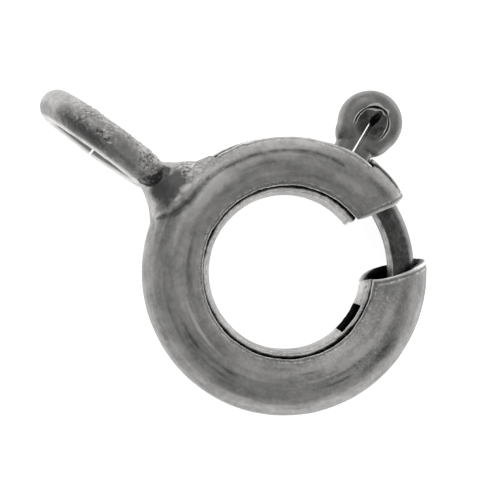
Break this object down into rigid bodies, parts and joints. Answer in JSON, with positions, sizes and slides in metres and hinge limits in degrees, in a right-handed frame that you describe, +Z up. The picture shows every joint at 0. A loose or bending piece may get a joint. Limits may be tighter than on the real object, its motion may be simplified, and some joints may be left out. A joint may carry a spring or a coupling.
{
  "type": "spring ring clasp",
  "caption": "Round jewellery clasp: a hollow ring tube with a gap, a soldered attachment eye, and a sprung sliding bolt that a thumb lever draws back.",
  "frame": {"origin": "centre of the ring, in the plane of the tube's centre line; the surface that the clasp lies on is 1.05 mm below it", "axes": "+X along the clasp from the attachment eye through the ring's centre, +Y towards the thumb lever, +Z up from the surface that the clasp lies on"},
  "size_m": [0.0092, 0.0073, 0.0032],
  "materials": {
    "oxidised_silver": "mid-grey oxidised silver, worn lighter along the edges, pitted at the solder and the eye",
    "bolt_silver": "dark oxidised silver, smooth, darkest on the inner flat and in the lever's folds",
    "spring_steel": "plain drawn spring wire, dull inside the tube"
  },
  "bodies": {
    "ring": {"ring_body": "oxidised_silver", "spring": "spring_steel"},
    "slider": {"bolt": "bolt_silver"}
  },
  "joints": [
    {"name": "bolt_travel", "type": "hinge", "parent": "ring", "child": "slider", "pos_m": [0, 0, 0], "axis": [0.1448, 0.0415, 0.9886], "range_deg": [0, 48], "stiffness_Nm_per_rad": 0.0036, "springref_deg": -40.11, "deforming": ["spring"]}
  ]
}
